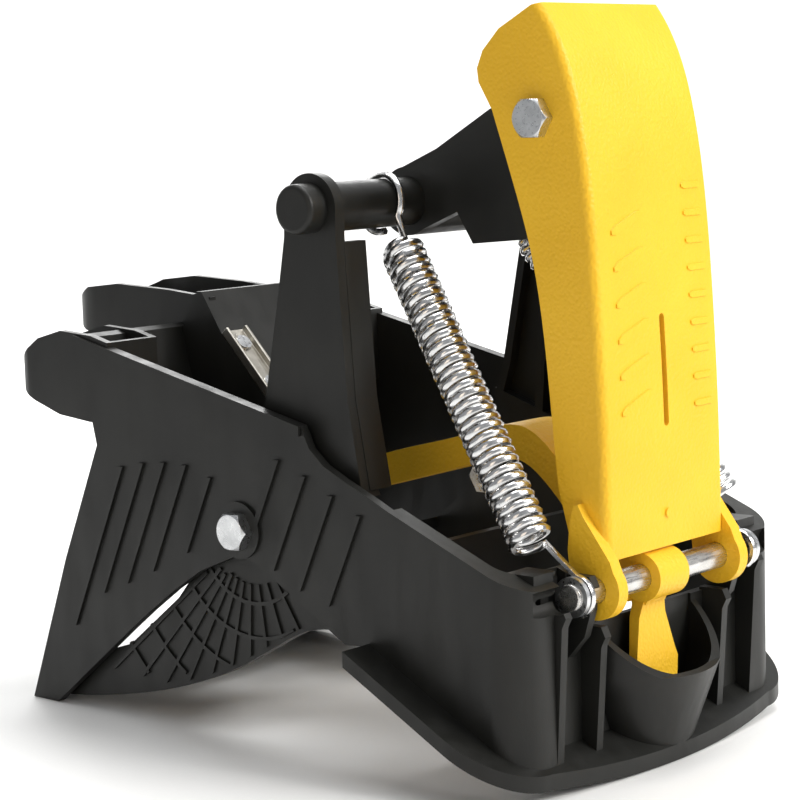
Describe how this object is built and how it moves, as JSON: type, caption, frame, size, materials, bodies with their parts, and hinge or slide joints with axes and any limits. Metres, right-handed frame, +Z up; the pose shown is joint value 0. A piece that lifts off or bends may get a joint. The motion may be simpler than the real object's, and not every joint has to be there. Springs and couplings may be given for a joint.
{
  "type": "foot-set mole trap",
  "caption": "Sprung scissor trap for tunnels: moulded frame with fixed claws, swinging jaw on bolts, foot pedal, toggle link, trigger and extension springs.",
  "frame": {"origin": "on the ground under the middle of the trap, which stands on its claw tips and base flange", "axes": "+X towards the pedal hinge, +Y across the trap along the hinge shaft, +Z up"},
  "size_m": [0.2624, 0.157, 0.226],
  "materials": {
    "black_plastic": "fine moulded grain, soft sheen",
    "yellow_plastic": "stippled moulded grain",
    "steel": "bright drawn steel",
    "zinc_steel": "bright zinc plate",
    "strip_steel": "rolled strip",
    "spring_steel": "bright zinc-plated wire",
    "bush_brass": "turned"
  },
  "bodies": {
    "frame": {"frame": "black_plastic", "hinge_shaft": "steel", "jaw_bolt_near": "zinc_steel", "jaw_bolt_far": "zinc_steel", "jaw_nut_near": "zinc_steel", "jaw_nut_far": "zinc_steel", "shaft_clip_near": "zinc_steel", "shaft_clip_far": "zinc_steel", "latch_strip": "strip_steel", "latch_rivets": "zinc_steel"},
    "jaw": {"moving_jaw": "black_plastic", "spring_bar": "black_plastic", "spring_bar_core": "steel", "jaw_bush_near": "bush_brass", "jaw_bush_far": "bush_brass"},
    "link": {"link": "black_plastic"},
    "pedal": {"pedal": "yellow_plastic", "pedal_bolt": "zinc_steel", "pedal_nut": "zinc_steel", "pedal_spacers": "steel"},
    "trigger": {"trigger": "yellow_plastic"},
    "springs": {"spring_near": "spring_steel", "spring_far": "spring_steel"},
    "spring_hooks": {"spring_hook_near": "spring_steel", "spring_hook_far": "spring_steel"}
  },
  "joints": [
    {"name": "jaw_pivot", "type": "hinge", "parent": "frame", "child": "jaw", "pos_m": [0.00575, 0, 0.0685], "axis": [0, -1, 0], "range_deg": [0, 50], "stiffness_Nm_per_rad": 2, "springref_deg": -17.19},
    {"name": "pedal_hinge", "type": "hinge", "parent": "frame", "child": "pedal", "pos_m": [0.11715, 0, 0.0568], "axis": [0, -1, 0], "range_deg": [-0.5, 40.2]},
    {"name": "link_pivot", "type": "hinge", "parent": "jaw", "child": "link", "pos_m": [0.03525, 0, 0.168], "axis": [0, -1, 0], "range_deg": [-78.6, 0.5]},
    {"name": "trigger_pivot", "type": "hinge", "parent": "frame", "child": "trigger", "pos_m": [0.11715, 0, 0.0568], "axis": [0, -1, 0], "range_deg": [0, 4]},
    {"name": "spring_swing", "type": "hinge", "parent": "frame", "child": "springs", "pos_m": [0.11715, 0, 0.0568], "axis": [0, -1, 0], "range_deg": [-0.5, 24]},
    {"name": "spring_stretch", "type": "slide", "parent": "springs", "child": "spring_hooks", "axis": [-0.593, 0, 0.8052], "range_m": [-0.001, 0.058], "deforming": ["spring_near", "spring_far", "spring_hook_near", "spring_hook_far"]}
  ],
  "couplings": [
    {"joint": "pedal_hinge", "follows": "jaw_pivot", "ratio": 0.79346},
    {"joint": "link_pivot", "follows": "jaw_pivot", "ratio": -1.5596},
    {"joint": "spring_swing", "follows": "jaw_pivot", "ratio": 0.46808},
    {"joint": "spring_stretch", "follows": "jaw_pivot", "m_per_rad": 0.065417}
  ]
}
